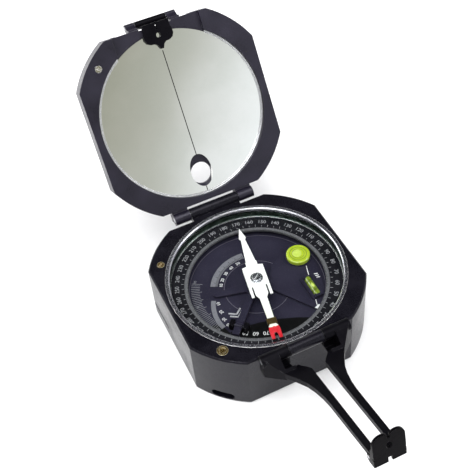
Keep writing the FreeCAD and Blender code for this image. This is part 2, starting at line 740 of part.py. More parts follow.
tip_pivot_v = -arm_length + 3.7
tip_pivot_w = -arm_drop - arm_thickness / 2


def tip_sight():
    """Erect leaf across the arm's tip: two round lobes, a peep slot and side cheeks on a pin."""
    low, top = -arm_drop - arm_thickness - 0.8, -arm_drop
    front, back = -arm_length + 0.4, -arm_length + 0.4 + leaf_thickness
    height = top + tip_sight_height
    half = tip_sight_half_width
    nick_low = low + 2.9
    lobe = half - lobe_radius
    arc = [math.radians(a) for a in range(0, 131, 13)]
    lobe_middle = height - lobe_radius
    round_top = [(lobe + lobe_radius * math.cos(a), lobe_middle + lobe_radius * math.sin(a)) for a in arc]
    outline = [(0.7, low + 1.9), (0.7, low), (half - 0.3, low), (half, low + 1.5)] + round_top
    outline.append((0.4, height - 2.0))
    corners = outline + [(-x, w) for x, w in reversed(outline)]
    wire = Part.makePolygon([V(x, front, w) for x, w in corners + corners[:1]])
    leaf = Part.Face(wire).extrude(V(0, back - front, 0))
    peep_low, peep_high = height - 5.3, height - 4.7
    ends = [Part.makeCylinder(peep_radius, 30, V(0, -70, z), V(0, 1, 0)) for z in (peep_low, peep_high)]
    peep = fuse([box(-peep_radius, peep_radius, -70, -40, peep_low, peep_high)] + ends)
    nicks = [box(-half, nick_depth - half, front, back, nick_low, nick_low + nick_depth),
             box(half - nick_depth, half, front, back, nick_low, nick_low + nick_depth)]
    cheeks = []
    for side in (-1, 1):
        left, right = sorted((side * half, side * (half - cheek_thickness)))
        cheeks.append(x_profile([(front + 0.1, low), (back + 2.0, low), (back + 3.2, low + 0.9),
                                 (back + 3.2, top - 0.1), (back + 1.3, top + 0.7), (back + 0.8, top + 3.6),
                                 (front + 0.1, top + 5.0)], left, right))
    sight = fuse([leaf] + cheeks).cut(Part.makeCompound([peep] + nicks))
    sight = sight.cut(x_cylinder(0.6, -20, 20, tip_pivot_v, tip_pivot_w))
    return to_arm(sight)


def tip_sight_pin():
    return to_arm(x_cylinder(0.6, -tip_sight_half_width, tip_sight_half_width, tip_pivot_v, tip_pivot_w))


# ---------------------------------------------------------------- build
def main():
    export("case_body", case_body())
    export("lock_pin_bush", lock_pin_bush())
    export("lock_pin", lock_pin())
    export("lock_pin_spring", lock_spring())
    export("lift_lever", lift_lever())
    export("lift_lever_bracket", *lever_bracket())
    export("lift_lever_pin", lever_pin())
    export("dial_plate", dial_plate())
    export("dial_plate_screws", *dial_screws())
    export("azimuth_ring", azimuth_ring())
    export("graduated_insert", graduated_insert())
    export("azimuth_pinion", pinion())
    export("declination_screw", pinion_screw())
    export("clinometer_arm", clinometer_arm())
    export("clinometer_shaft", clinometer_shaft())
    export("clinometer_bush", shaft_bush())
    export("clinometer_crank", clinometer_crank())
    export("crank_screw", crank_screw())
    export("friction_washer", spring_washer())
    export("shaft_clip", shaft_clip())
    export("round_level_cup", round_level_cup())
    export("round_level_vial", round_level_vial())
    export("tube_level_holder", tube_level_holder())
    export("tube_level_vial", tube_vial_shape(0.0))
    export("pivot_post", pivot_post())
    export("needle_blade", needle_blade())
    export("needle_magnets", *needle_magnets())
    export("needle_hub", needle_hub())
    export("needle_jewel", needle_jewel())
    export("balance_wire", *balance_wire())
    export("bezel_ring", bezel_ring())
    export("cover_glass", cylinder(bore_radius - 0.05, spacer_top, glass_top))
    export("glass_spacer", glass_spacer())
    export("dial_retaining_ring", dial_wire())
    export("lid_hinge_pin", x_cylinder(hinge_pin_radius, -lid_knuckle_outer, lid_knuckle_outer,
                                       lid_hinge_y, lid_hinge_z))
    export("arm_hinge_pin", x_cylinder(hinge_pin_radius, -arm_knuckle_outer, arm_knuckle_outer,
                                       arm_hinge_y, arm_hinge_z))
    export("lid_shell", to_open_lid(lid_shell()))
    export("mirror", to_open_lid(mirror()))
    export("mirror_retaining_ring", to_open_lid(mirror_ring()))
    export("lid_lock_screw", to_open_lid(lid_lock_screw()))
    export("lid_sight", to_open_lid(lid_sight()))
    export("lid_sight_pin", to_open_lid(x_cylinder(0.6, -lid_sight_lug_outer, lid_sight_lug_outer,
                                                   lid_sight_y, lid_sight_z)))
    export("sighting_arm", sighting_arm())
    export("tip_sight", tip_sight())
    export("tip_sight_pin", tip_sight_pin())


main()
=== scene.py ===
import bmesh
import bpy
import json
import math
from mathutils import Matrix, Vector


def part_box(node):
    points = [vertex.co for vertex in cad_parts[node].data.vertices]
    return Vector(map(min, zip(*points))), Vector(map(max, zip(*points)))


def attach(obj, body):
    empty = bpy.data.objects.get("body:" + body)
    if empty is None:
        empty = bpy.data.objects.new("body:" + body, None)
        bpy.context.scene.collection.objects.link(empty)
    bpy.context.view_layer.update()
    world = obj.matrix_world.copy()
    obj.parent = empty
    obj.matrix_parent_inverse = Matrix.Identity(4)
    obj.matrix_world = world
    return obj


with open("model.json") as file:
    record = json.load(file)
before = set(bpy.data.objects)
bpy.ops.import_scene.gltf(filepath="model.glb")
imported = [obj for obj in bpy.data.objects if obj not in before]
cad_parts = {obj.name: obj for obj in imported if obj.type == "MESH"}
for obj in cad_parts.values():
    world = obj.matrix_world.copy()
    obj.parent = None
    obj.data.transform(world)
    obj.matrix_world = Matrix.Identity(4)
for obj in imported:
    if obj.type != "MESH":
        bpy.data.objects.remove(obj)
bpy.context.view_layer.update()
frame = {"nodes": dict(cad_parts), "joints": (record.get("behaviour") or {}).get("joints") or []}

MM = 0.001
nodes = frame["nodes"]
joints = {joint["name"]: joint for joint in frame["joints"]}
scene = bpy.context.scene


# ---------------------------------------------------------------- camera
# Angles in degrees, lengths in millimetres.
AZIMUTH, ELEVATION, ROLL = map(math.radians, (-21.05, 48.17, -5.84))
CAMERA_AT = Vector((-78.59, -188.72, 272.49)) * MM
SENSOR_WIDTH = 36.0
FOCAL_LENGTH = 67.747


def make_camera():
    """The camera looks down at the front of the case, rolled a little."""
    level = math.cos(ELEVATION)
    back = Vector((math.sin(AZIMUTH) * level, -math.cos(AZIMUTH) * level, math.sin(ELEVATION)))
    level_right = Vector((math.cos(AZIMUTH), math.sin(AZIMUTH), 0))
    level_up = back.cross(level_right)
    right = level_right * math.cos(ROLL) + level_up * math.sin(ROLL)
    up = level_up * math.cos(ROLL) - level_right * math.sin(ROLL)
    data = bpy.data.cameras.new("camera")
    data.sensor_width = SENSOR_WIDTH
    data.lens = FOCAL_LENGTH
    camera = bpy.data.objects.new("camera", data)
    scene.collection.objects.link(camera)
    turn = Matrix((right, up, back)).transposed()
    camera.matrix_world = Matrix.Translation(CAMERA_AT) @ turn.to_4x4()
    scene.camera = camera


# ---------------------------------------------------------------- node trees
class NodeTree:
    """A node tree under construction. A socket is set by its name or number."""

    def __init__(self, owner):
        owner.use_nodes = True
        self.owner = owner
        self.tree = owner.node_tree
        self.tree.nodes.clear()

    def fill(self, socket, value):
        """Link a socket to another node's output, or set its value. A colour may leave out its alpha."""
        if isinstance(value, bpy.types.NodeSocket):
            self.tree.links.new(value, socket)
        elif socket.type == "RGBA" and len(value) == 3:
            socket.default_value = (*value, 1)
        else:
            socket.default_value = value

    def node(self, kind, sockets=None, **settings):
        made = self.tree.nodes.new("ShaderNode" + kind)
        for key, value in settings.items():
            setattr(made, key, value)
        for key, value in (sockets or {}).items():
            self.fill(made.inputs[key], value)
        return made

    def ramp(self, factor, stops):
        """A colour ramp through (position, colour) stops."""
        made = self.node("ValToRGB", {0: factor})
        elements = made.color_ramp.elements
        while len(elements) < len(stops):
            elements.new(0.5)
        for element, (position, color) in zip(elements, stops):
            element.position = position
            element.color = (*color, 1)
        return made.outputs[0]

    def between(self, factor, low, high, from_low=0.3, from_high=0.7):
        """Map a factor to the range low to high. Noise lies mostly between 0.3 and 0.7."""
        sockets = {0: factor, 1: from_low, 2: from_high, 3: low, 4: high}
        return self.node("MapRange", sockets).outputs[0]

    def math(self, operation, first, second):
        return self.node("Math", {0: first, 1: second}, operation=operation).outputs[0]

    def dot(self, first, second):
        return self.node("VectorMath", {0: first, 1: second}, operation="DOT_PRODUCT").outputs["Value"]

    def mix(self, factor, first, second):
        return self.node("Mix", {0: factor, 6: first, 7: second}, data_type="RGBA").outputs[2]

    def finish(self, shader, output="OutputMaterial"):
        """Link the last shader to the output, and return what the tree belongs to."""
        self.node(output, {0: shader.outputs[0]})
        return self.owner


class Material(NodeTree):
    """A material's node tree, with the textures that the materials here share."""

    def __init__(self, name):
        super().__init__(bpy.data.materials.new(name))

    def point(self, **mapping):
        """The shaded point in the object's own metres, turned or stretched by a Mapping node."""
        named = {key.capitalize(): value for key, value in mapping.items()}
        return self.node("Mapping", {"Vector": self.node("TexCoord").outputs["Object"], **named}).outputs[0]

    def noise(self, size_mm, detail, roughness=0.55, stretch=(1, 1, 1)):
        """Noise with blotches about size_mm across, finer where stretch is more than 1."""
        sockets = {"Vector": self.point(scale=stretch), "Scale": 1 / (size_mm * MM)}
        return self.node("TexNoise", {**sockets, "Detail": detail, "Roughness": roughness}).outputs[0]

    def soft_edge(self, radius_mm):
        """The normal with edges rounded by radius_mm."""
        return self.node("Bevel", {"Radius": radius_mm * MM}, samples=4).outputs[0]

    def edge_mask(self, radius_mm):
        """1 along sharp edges and 0 on flat faces."""
        flat = self.node("NewGeometry").outputs["Normal"]
        return self.between(self.dot(self.soft_edge(radius_mm), flat), 1.0, 0.0, 0.86, 0.995)

    def bump(self, height, strength, distance_mm, edge_mm):
        """Relief of the given height over edges rounded by edge_mm."""
        sockets = {"Height": height, "Strength": strength, "Distance": distance_mm * MM}
        return self.node("Bump", {**sockets, "Normal": self.soft_edge(edge_mm)}).outputs[0]

    def principled(self, **sockets):
        """Finish the material. In a socket's name, an underscore stands for a space."""
        named = {key.replace("_", " "): value for key, value in sockets.items()}
        return self.finish(self.node("BsdfPrincipled", named))


# ---------------------------------------------------------------- materials
def enamel(name, dark, light, roughness, grain, wear, gloss, coat=0.0):
    """Stoved black enamel over a casting: orange-peel grain, cloudy gloss, rubbed edges."""
    look = Material(name)
    cloud = look.noise(9.0, 4.0)
    peel = look.noise(0.55, 2.0)
    specks = look.noise(0.22, 1.0)
    color = look.mix(look.between(cloud, 0.0, 1.0), dark, light)
    patches = look.between(look.noise(1.6, 4.0), 0.0, wear, 0.52, 0.72)
    rubbed = look.math("MULTIPLY", look.edge_mask(0.3), patches)
    color = look.mix(rubbed, color, (0.22, 0.22, 0.23))
    cloudy = look.between(cloud, roughness - 0.06, roughness + 0.07)
    rough = look.math("ADD", cloudy, look.between(specks, -0.05, 0.05))
    height = look.math("ADD", peel, look.math("MULTIPLY", specks, 0.35))
    return look.principled(Base_Color=color, Roughness=rough, Normal=look.bump(height, grain, 0.035, 0.28),
                           Specular_IOR_Level=gloss, Specular_Tint=(0.88, 0.86, 1.0),
                           Coat_Weight=coat, Coat_Roughness=0.2)


def dial_paint(name, dark, light, roughness):
    """Matt painted sheet with a faint sheen and dust."""
    look = Material(name)
    cloud = look.noise(14.0, 3.0)
    dust = look.noise(0.35, 1.0)
    color = look.mix(look.between(cloud, 0.0, 1.0), dark, light)
    color = look.mix(look.between(dust, 0.0, 0.12, 0.66, 0.8), color, (0.3, 0.3, 0.32))
    rough = look.between(cloud, roughness - 0.07, roughness + 0.07)
    return look.principled(Base_Color=color, Roughness=rough, Normal=look.bump(dust, 0.25, 0.015, 0.08),
                           Specular_IOR_Level=0.1)


def metal(name, color, tint, roughness, scratch=0.3, edge=0.08, painted_edge_highlight=None):
    """Turned or plated metal: fine tool marks and a little tarnish. The edge highlight, when given, is a
    radius and the colour of a painted highlight laid along the edges.
    """
    look = Material(name)
    marks = look.noise(0.35, 3.0, roughness=0.5, stretch=(1, 1, 6))
    shade = look.mix(look.between(look.noise(2.5, 4.0), 0.0, 1.0), color, tint)
    # Painted highlight: the edges within the radius are coloured bright.
    if painted_edge_highlight:
        radius, highlight_colour = painted_edge_highlight
        shade = look.mix(look.edge_mask(radius), shade, highlight_colour)
    rough = look.between(marks, roughness * 0.7, roughness * 1.35)
    return look.principled(Base_Color=shade, Roughness=rough, Metallic=1.0,
                           Normal=look.bump(marks, scratch, 0.01, edge))


def painted(name, color, tint, roughness, coat):
    """Brushed-on or printed paint, uneven in tone, with small chips."""
    look = Material(name)
    chips = look.noise(0.3, 2.0)
    shade = look.mix(look.between(look.noise(1.8, 4.0), 0.0, 1.0), color, tint)
    rough = look.between(chips, roughness - 0.08, roughness + 0.08)
    return look.principled(Base_Color=shade, Roughness=rough, Normal=look.bump(chips, 0.2, 0.01, 0.06),
                           Coat_Weight=coat, Coat_Roughness=0.15)


def ink(name, color, worn, roughness=0.55, gloss=0.5):
    """Printed figures and lines, thin in places."""
    look = Material(name)
    thin = look.between(look.noise(0.45, 3.0), 0.0, 1.0, 0.45, 0.75)
    rough = look.between(look.noise(0.2, 1.0), roughness - 0.05, roughness + 0.1)
    return look.principled(Base_Color=look.mix(thin, color, worn), Roughness=rough, Specular_IOR_Level=gloss)


def pane(name, tint, roughness, reflect):
    """Thin clear glass, with a gloss that grows at grazing angles as Schlick's formula says."""
    look = Material(name)
    facing = look.node("LayerWeight", {"Blend": 0.5}).outputs["Facing"]
    head_on = 0.04
    grazing = look.math("MULTIPLY", look.math("POWER", facing, 5.0), 1 - head_on)
    share = look.math("MULTIPLY", look.math("ADD", grazing, head_on), reflect)
    rough = look.between(look.noise(11.0, 3.0), roughness, roughness + 0.05)
    gloss = look.node("BsdfGlossy", {"Color": (1, 1, 1), "Roughness": rough}).outputs[0]
    clear = look.node("BsdfTransparent", {"Color": tint}).outputs[0]
    return look.finish(look.node("MixShader", {0: share, 1: clear, 2: gloss}))


def silvering(name):
    """Mirror face, with the faintest smears and specks."""
    look = Material(name)
    smears = look.noise(16.0, 4.0)
    color = look.mix(look.between(smears, 0.0, 1.0, 0.35, 0.65), (0.90, 0.91, 0.88), (0.84, 0.86, 0.82))
    specks = look.between(look.noise(0.5, 2.0), 0.0, 0.25, 0.72, 0.8)
    color = look.mix(specks, color, (0.5, 0.5, 0.48))
    return look.principled(Base_Color=color, Roughness=look.between(smears, 0.035, 0.10), Metallic=1.0)


def spirit(name, deep, bright):
    """Yellow-green level liquid seen through its glass."""
    look = Material(name)
    cloud = look.noise(2.2, 3.0)
    color = look.mix(look.between(cloud, 0.0, 1.0), deep, bright)
    rough = look.between(look.noise(0.8, 2.0), 0.08, 0.16)
    return look.principled(Base_Color=color, Roughness=rough, Normal=look.bump(cloud, 0.1, 0.02, 0.2),
                           Coat_Weight=0.8, Coat_Roughness=0.04)


def needle_paint(name, bearing, cream_end, cream_start, red_start):
    """White enamel, aged cream near the wire, with a red tail. Places are in millimetres along the needle."""
    look = Material(name)
    along = look.point(rotation=(0, 0, -math.radians(bearing)))
    y = look.node("SeparateXYZ", {0: along}).outputs[1]
    cloud = look.noise(1.5, 4.0)
    white = look.mix(look.between(cloud, 0.0, 1.0), (0.86, 0.86, 0.85), (0.74, 0.74, 0.73))
    cream = look.between(y, 1.0, 0.0, cream_end * MM, cream_start * MM)
    white = look.mix(look.math("MULTIPLY", cream, 0.7), white, (0.66, 0.68, 0.56))
    wobble = look.math("MULTIPLY", look.between(look.noise(0.6, 2.0), -0.25, 0.25), MM)
    tail = look.math("LESS_THAN", look.math("ADD", y, wobble), red_start * MM)
    red = look.mix(look.between(cloud, 0.0, 1.0), (0.46, 0.006, 0.014), (0.62, 0.03, 0.04))
    color = look.mix(tail, white, red)
    patches = look.between(look.noise(0.8, 3.0), 0.0, 0.35, 0.5, 0.75)
    grime = look.math("MULTIPLY", look.edge_mask(0.12), patches)
    color = look.mix(grime, color, (0.3, 0.29, 0.27))
    return look.principled(Base_Color=color, Roughness=look.between(cloud, 0.32, 0.5),
                           Normal=look.bump(look.noise(0.25, 2.0), 0.15, 0.01, 0.08))


# Colours of the painted highlights along the edges of the plated and brass parts.
EDGE_HIGHLIGHT_WHITE = (0.97, 0.97, 0.98)
EDGE_HIGHLIGHT_BRASS = (0.92, 0.84, 0.58)
LOOKS = {
    "black_enamel": enamel("case_enamel", (0.0030, 0.0028, 0.0046), (0.0062, 0.0058, 0.0090), roughness=0.27,
                           grain=0.55, wear=0.5, gloss=0.19, coat=0.06),
    "arm_enamel": enamel("arm_enamel", (0.0014, 0.0012, 0.0020), (0.0032, 0.0030, 0.0042), roughness=0.36,
                         grain=0.8, wear=0.3, gloss=0.07),
    "tip_enamel": enamel("tip_enamel", (0.0010, 0.0008, 0.0010), (0.0024, 0.0021, 0.0026), roughness=0.30,
                         grain=0.8, wear=0.3, gloss=0.03),
    "lid_enamel": enamel("lid_enamel", (0.0030, 0.0022, 0.0062), (0.0064, 0.0050, 0.0125), roughness=0.35,
                         grain=1.2, wear=0.5, gloss=0.55),
    "black_dial": dial_paint("dial_paint", (0.015, 0.0135, 0.025), (0.023, 0.021, 0.037), roughness=0.36),
    "ring_paint": dial_paint("ring_paint", (0.005, 0.005, 0.007), (0.010, 0.0095, 0.013), roughness=0.42),
    # The plated rings, the brass and the screw plate carry a painted highlight along their edges.
    "bright_ring": metal("plated_ring", (0.56, 0.57, 0.62), (0.40, 0.41, 0.46), roughness=0.25,
                         scratch=0.15, edge=0.2, painted_edge_highlight=(0.4, EDGE_HIGHLIGHT_WHITE)),
    "mirror_ring": metal("mirror_ring_plate", (0.62, 0.63, 0.65), (0.48, 0.49, 0.51), roughness=0.28,
                         scratch=0.15, edge=0.2, painted_edge_highlight=(0.25, EDGE_HIGHLIGHT_WHITE)),
    "brass": metal("turned_brass", (0.42, 0.30, 0.11), (0.26, 0.18, 0.06), roughness=0.28,
                   edge=0.12, painted_edge_highlight=(0.35, EDGE_HIGHLIGHT_BRASS)),
    "screw_plate": metal("screw_plate", (0.50, 0.48, 0.38), (0.34, 0.32, 0.24), roughness=0.25,
                         edge=0.12, painted_edge_highlight=(0.4, EDGE_HIGHLIGHT_WHITE)),
    "steel": metal("turned_steel", (0.55, 0.56, 0.58), (0.36, 0.37, 0.39), roughness=0.3),
    "spring_steel": metal("spring_steel", (0.40, 0.40, 0.41), (0.28, 0.28, 0.30), roughness=0.3),
    "magnet": metal("magnet_steel", (0.30, 0.30, 0.31), (0.20, 0.20, 0.21), roughness=0.35),
    "blued_pin": metal("blued_pin", (0.05, 0.05, 0.06), (0.03, 0.03, 0.04), roughness=0.35),
    # Dark metal spacer; its green tint is a painted reflection of the cover glass's green edge.
    "black_spacer": metal("spacer", (0.10, 0.14, 0.11), (0.04, 0.07, 0.05), roughness=0.3, scratch=0.2),
    "copper_wire": metal("copper_wire", (0.20, 0.14, 0.05), (0.10, 0.07, 0.03), roughness=0.35, scratch=0.5),
    "jewel": painted("ruby", (0.30, 0.01, 0.03), (0.20, 0.01, 0.02), roughness=0.15, coat=1.0),
    "grey_insert": painted("grey_insert", (0.085, 0.085, 0.09), (0.06, 0.06, 0.065), roughness=0.3, coat=0.5),
    "white_needle": needle_paint("needle_paint", bearing=-10.9, cream_end=-16.0, cream_start=-10.0,
                                 red_start=-22.4),
    "clear_glass": pane("cover_pane", (0.975, 0.985, 0.98), roughness=0.0, reflect=0.16),
    "mirror_glass": silvering("silvered_face"),
    "vial_liquid": spirit("level_spirit", (0.31, 0.41, 0.018), (0.41, 0.51, 0.04)),
    "tube_spirit": spirit("tube_spirit", (0.11, 0.16, 0.010), (0.19, 0.26, 0.02)),
}
BUBBLE_LOOK = spirit("bubble", (0.40, 0.52, 0.06), (0.50, 0.61, 0.13))

WHITE_INK = ink("white_ink", (0.80, 0.80, 0.81), (0.50, 0.50, 0.52))
RING_INK = ink("ring_ink", (0.34, 0.34, 0.36), (0.12, 0.12, 0.14))
GREY_INK = ink("grey_ink", (0.22, 0.22, 0.24), (0.12, 0.12, 0.14))
MARK_INK = ink("mark_ink", (0.36, 0.36, 0.38), (0.22, 0.22, 0.24))
FAINT_INK = ink("faint_ink", (0.10, 0.09, 0.12), (0.05, 0.045, 0.06))
BAND_INK = ink("band_ink", (0.14, 0.14, 0.16), (0.09, 0.09, 0.11))
LEVEL_INK = ink("level_ring_ink", (0.10, 0.14, 0.01), (0.16, 0.20, 0.02))
# Dark print for lines and ticks; the same material also lays the painted shade at the dial's front.
DARK_INK_AND_SHADE = ink("dark_ink_and_painted_shade", (0.0012, 0.0012, 0.0015), (0.0025, 0.0025, 0.003), roughness=0.4, gloss=0.12)

# Nodes whose finish differs from that of their slot.
OWN_LOOKS = {
    "azimuth_ring": "ring_paint",
    "sighting_arm": "arm_enamel",
    "tip_sight": "tip_enamel",
    "lid_shell": "lid_enamel",
    "lid_sight": "arm_enamel",
    "mirror_retaining_ring": "mirror_ring",
    "lid_lock_screw": "screw_plate",
    "tube_level_vial": "tube_spirit",
    "lift_lever_bracket": "arm_enamel",
    "lift_lever_pin": "blued_pin",
}


def dress_nodes():
    """Give each carried-over CAD node its own look or that of its slot."""
    for name, node in nodes.items():
        for index, old in enumerate(node.data.materials):
            slot = old.name.split(".")[0]
            node.data.materials[index] = LOOKS[OWN_LOOKS.get(name, slot)]


# ---------------------------------------------------------------- pieces
def top_of(node):
    """The height of a node's top, in metres."""
    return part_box(node)[1][2]


def at_height(z_metres):
    """Lifts a mesh to a height in metres."""
    return Matrix.Translation((0, 0, z_metres))


def on_circle(radius, angle):
    """The point at an angle in degrees on a circle about the origin."""
    radians = math.radians(angle)
    return radius * math.cos(radians), radius * math.sin(radians)


def add_piece(name, body, material, mesh, place):
    """Turn a finished bmesh into a piece that rides on a CAD body."""
    bmesh.ops.recalc_face_normals(mesh, faces=mesh.faces)
    data = bpy.data.meshes.new(name)
    mesh.to_mesh(data)
    mesh.free()
    data.transform(place)
    data.materials.append(material)
    piece = bpy.data.objects.new(name, data)
    scene.collection.objects.link(piece)
    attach(piece, body)


# ---------------------------------------------------------------- printed marks
# Lengths from here to the stage are in millimetres, except where a name or comment says metres.
PRINT_HEIGHT = 0.02
FIGURE_HALF_HEIGHT = 0.008
SMALL_FIGURE, LARGE_FIGURE = 1.7, 2.2
ARC_STEP_DEG = 3
FIGURE_MESHES = {}


def figure_mesh(text, size):
    """Flat figures as a mesh, centred on the origin, size in millimetres."""
    if (text, size) not in FIGURE_MESHES:
        curve = bpy.data.curves.new("figures", "FONT")
        curve.body = text
        curve.size = size * MM
        curve.extrude = FIGURE_HALF_HEIGHT * MM
        curve.resolution_u = 3
        curve.align_x = "CENTER"
        curve.align_y = "CENTER"
        holder = bpy.data.objects.new("figures", curve)
        scene.collection.objects.link(holder)
        bpy.context.view_layer.update()
        graph = bpy.context.evaluated_depsgraph_get()
        FIGURE_MESHES[(text, size)] = bpy.data.meshes.new_from_object(holder.evaluated_get(graph))
        bpy.data.objects.remove(holder)
    return FIGURE_MESHES[(text, size)]


class Marks:
    """Thin printed shapes gathered in one mesh. Lengths are in millimetres and angles in degrees."""

    def __init__(self):
        self.mesh = bmesh.new()

    def polygon(self, points, height=PRINT_HEIGHT):
        """A flat shape with upright sides, open underneath."""
        bottom = [self.mesh.verts.new((x * MM, y * MM, 0)) for x, y in points]
        top = [self.mesh.verts.new((x * MM, y * MM, height * MM)) for x, y in points]
        self.mesh.faces.new(top)
        for i in range(len(points)):
            j = (i + 1) % len(points)
            self.mesh.faces.new((bottom[i], bottom[j], top[j], top[i]))

    def line(self, start, end, width):
        """A straight stroke from start to end."""
        a, b = Vector(start), Vector(end)
        side = (b - a).orthogonal().normalized() * width / 2
        self.polygon([a + side, a - side, b - side, b + side])

    def tick(self, angle, inner, outer, width):
        """A stroke along a radius."""
        self.line(on_circle(inner, angle), on_circle(outer, angle), width)

    def arc(self, inner, outer, start, end, centre=(0, 0)):
        """A band between two radii, from one angle to another."""
        steps = int((end - start) / ARC_STEP_DEG)
        for i in range(steps):
            low, high = (start + (end - start) * k / steps for k in (i, i + 1))
            corners = ((inner, low), (outer, low), (outer, high), (inner, high))
            points = [on_circle(radius, angle) for radius, angle in corners]
            self.polygon([(centre[0] + x, centre[1] + y) for x, y in points])

    def figures(self, text, place, angle, size):
        """Figures centred on a place, with their tops towards angle."""
        copy = figure_mesh(text, size).copy()
        x, y = place
        turn = Matrix.Rotation(math.radians(angle - 90), 4, "Z")
        copy.transform(Matrix.Translation((x * MM, y * MM, PRINT_HEIGHT / 2 * MM)) @ turn)
        self.mesh.from_mesh(copy)
        bpy.data.meshes.remove(copy)

    def figures_around(self, labels, radius, size):
        """Figures on a circle, from (angle, text) pairs, with their tops outwards."""
        for angle, text in labels:
            self.figures(text, on_circle(radius, angle), angle, size)

    def done(self, name, body, material, place):
        """Make the gathered marks one piece."""
        add_piece(name, body, material, self.mesh, place)


def azimuth_marks():
    """The number ring and the insert inside it, counted anticlockwise from the sighting arm."""
    arm_angle = -90
    insert_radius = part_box("graduated_insert")[1][0] / MM

    marks = Marks()
    labels = [(degree + arm_angle, str(degree)) for degree in range(0, 360, 10)]
    marks.figures_around(labels, insert_radius + 2.55, LARGE_FIGURE)
    for degree in range(0, 360, 5):
        length = 1.0 if degree % 10 else 0.7
        foot = insert_radius + 0.15
        marks.tick(degree + arm_angle, foot, foot + length, 0.14)
    marks.done("azimuth_figures", "azimuth", RING_INK, at_height(top_of("azimuth_ring")))

    marks = Marks()
    for degree in range(360):
        length = 0.8 if degree % 5 else 1.2
        end = insert_radius - 0.1
        marks.tick(degree + arm_angle, end - length, end, 0.10)
    marks.done("degree_ticks", "azimuth", GREY_INK, at_height(top_of("graduated_insert")))


# ---------------------------------------------------------------- dial
DIAL_EDGE = 24.9
BAND_INNER, BAND_OUTER = 14.6, 17.3


def scale_bands(dial_top):
    """The grey band of the inner arc, with its dark ticks, and the band of the small scale at the left."""
    marks = Marks()
    marks.arc(BAND_INNER, BAND_OUTER, 84, 152)
    marks.arc(16.2, 17.9, 150, 194, centre=(-2.2, -7.0))
    marks.done("scale_bands", "case", BAND_INK, at_height(dial_top))

    marks = Marks()
    for step in range(34):
        length = 0.9 if step % 5 else 1.7
        marks.tick(86 + step * 2, BAND_INNER, BAND_INNER + length, 0.14)
    marks.done("band_ticks", "case", DARK_INK_AND_SHADE, at_height(dial_top + PRINT_HEIGHT * MM))


def scale_figures(dial_top):
    """Figures along the inside of the arc, on the small scale at the left and along the dial's front edge."""
    marks = Marks()
    marks.figures_around(((97, "50"), (111, "40"), (125, "30"), (139, "20"), (150, "10")), 13.3, SMALL_FIGURE)
    for x, y, text in ((-15.9, -0.6, "10"), (-16.5, -4.4, "20"), (-17.0, -7.9, "30"), (-16.6, -10.9, "40")):
        marks.figures(text, (x, y), math.degrees(math.atan2(y, x)), SMALL_FIGURE)
    marks.figures_around(((232.6, "50"), (242.4, "60"), (252.2, "70"), (261.6, "80")), 21.2, LARGE_FIGURE)
    over_bands = at_height(dial_top + 1.5 * PRINT_HEIGHT * MM)
    marks.done("scale_figures", "case", WHITE_INK, over_bands)


def fan_ticks(dial_top):
    """The grade scale's ticks at the left edge, with a 0 in the middle and a 90 at each end."""
    outer = 24.4
    marks = Marks()
    for step in range(29):
        length = 3.2 if step % 5 else 4.0
        marks.tick(149 + step * 2, outer - length, outer, 0.16)
    marks.figures_around(((147, "90"), (176, "0"), (208, "90")), 23.2, 1.5)
    marks.done("fan_ticks", "case", GREY_INK, at_height(dial_top))


def dial_circles(dial_top):
    """Two thin circles, one inside the scales and one at the dial's edge."""
    marks = Marks()
    marks.arc(12.1, 12.28, 0, 360)
    marks.arc(DIAL_EDGE, DIAL_EDGE + 0.15, 0, 360)
    marks.done("dial_circles", "case", FAINT_INK, at_height(dial_top))


def dial_front_zone(dial_top):
    """Painted shade on the dial's front: a wide dark area under the needle's tail, and a small one left of
    it.
    """
    front = [(-17.4, -14.0), (-12.5, -14.1), (-6.7, -15.0), (0.0, -16.8), (6.0, -19.2), (11.2, -22.0)]
    left = [(-20.6, -8.6), (-18.4, -11.5), (-17.6, -14.6)]
    marks = Marks()
    for outline, rim_angles in ((front, range(296, 218, -6)), (left, range(217, 198, -6))):
        marks.polygon(outline + [on_circle(DIAL_EDGE, angle) for angle in rim_angles], height=0.012)
    marks.done("dial_front_zone", "case", DARK_INK_AND_SHADE, at_height(dial_top))


def dial_chevrons(dial_top):
    """Two plain chevrons, pointing at the dial's front."""
    width = 0.6
    marks = Marks()
    for shift in (0.0, 1.4):
        left, point, right = (-14.6, -7.6 + shift), (-12.1, -9.3 + shift), (-9.8, -7.4 + shift)
        marks.line(left, point, width)
        marks.line(point, right, width)
    marks.done("dial_chevrons", "case", MARK_INK, at_height(dial_top))


def clinometer_marks():
    """The arm's index line with its arrowhead, and three short bars beside the tube level."""
    place = at_height(top_of("clinometer_arm"))
    marks = Marks()
    marks.line((19.9, -0.8), (14.6, -19.2), 0.22)
    for y in (-5.6, -6.5, -7.4):
        marks.line((20.6, y), (21.9, y - 0.35), 0.3)
    marks.polygon([(13.4, -19.3), (15.0, -21.5), (16.7, -20.3), (15.4, -18.6)])
    marks.done("clinometer_index", "clinometer", WHITE_INK, place)


# ---------------------------------------------------------------- levels
def round_mesh(profile, steps=48):
    """Turn (radius, height) points, in millimetres, about the Z axis."""
    mesh = bmesh.new()
    rings = []
    for radius, height in profile:
        if radius == 0:
            rings.append([mesh.verts.new((0, 0, height * MM))])
            continue
        points = [on_circle(radius * MM, 360 * i / steps) for i in range(steps)]
        rings.append([mesh.verts.new((x, y, height * MM)) for x, y in points])
    for low, high in zip(rings, rings[1:]):
        for i in range(steps):
            j = (i + 1) % steps
            if len(low) == 1:
                mesh.faces.new((low[0], high[i], high[j]))
            elif len(high) == 1:
                mesh.faces.new((low[i], low[j], high[0]))
            else:
                mesh.faces.new((low[i], low[j], high[j], high[i]))
    for face in mesh.faces:
        face.smooth = True
    return mesh


def box_of(node):
    """The middle of a node's box, and half its size."""
    low, high = (Vector(corner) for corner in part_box(node))
    return (low + high) / 2, (high - low) / 2


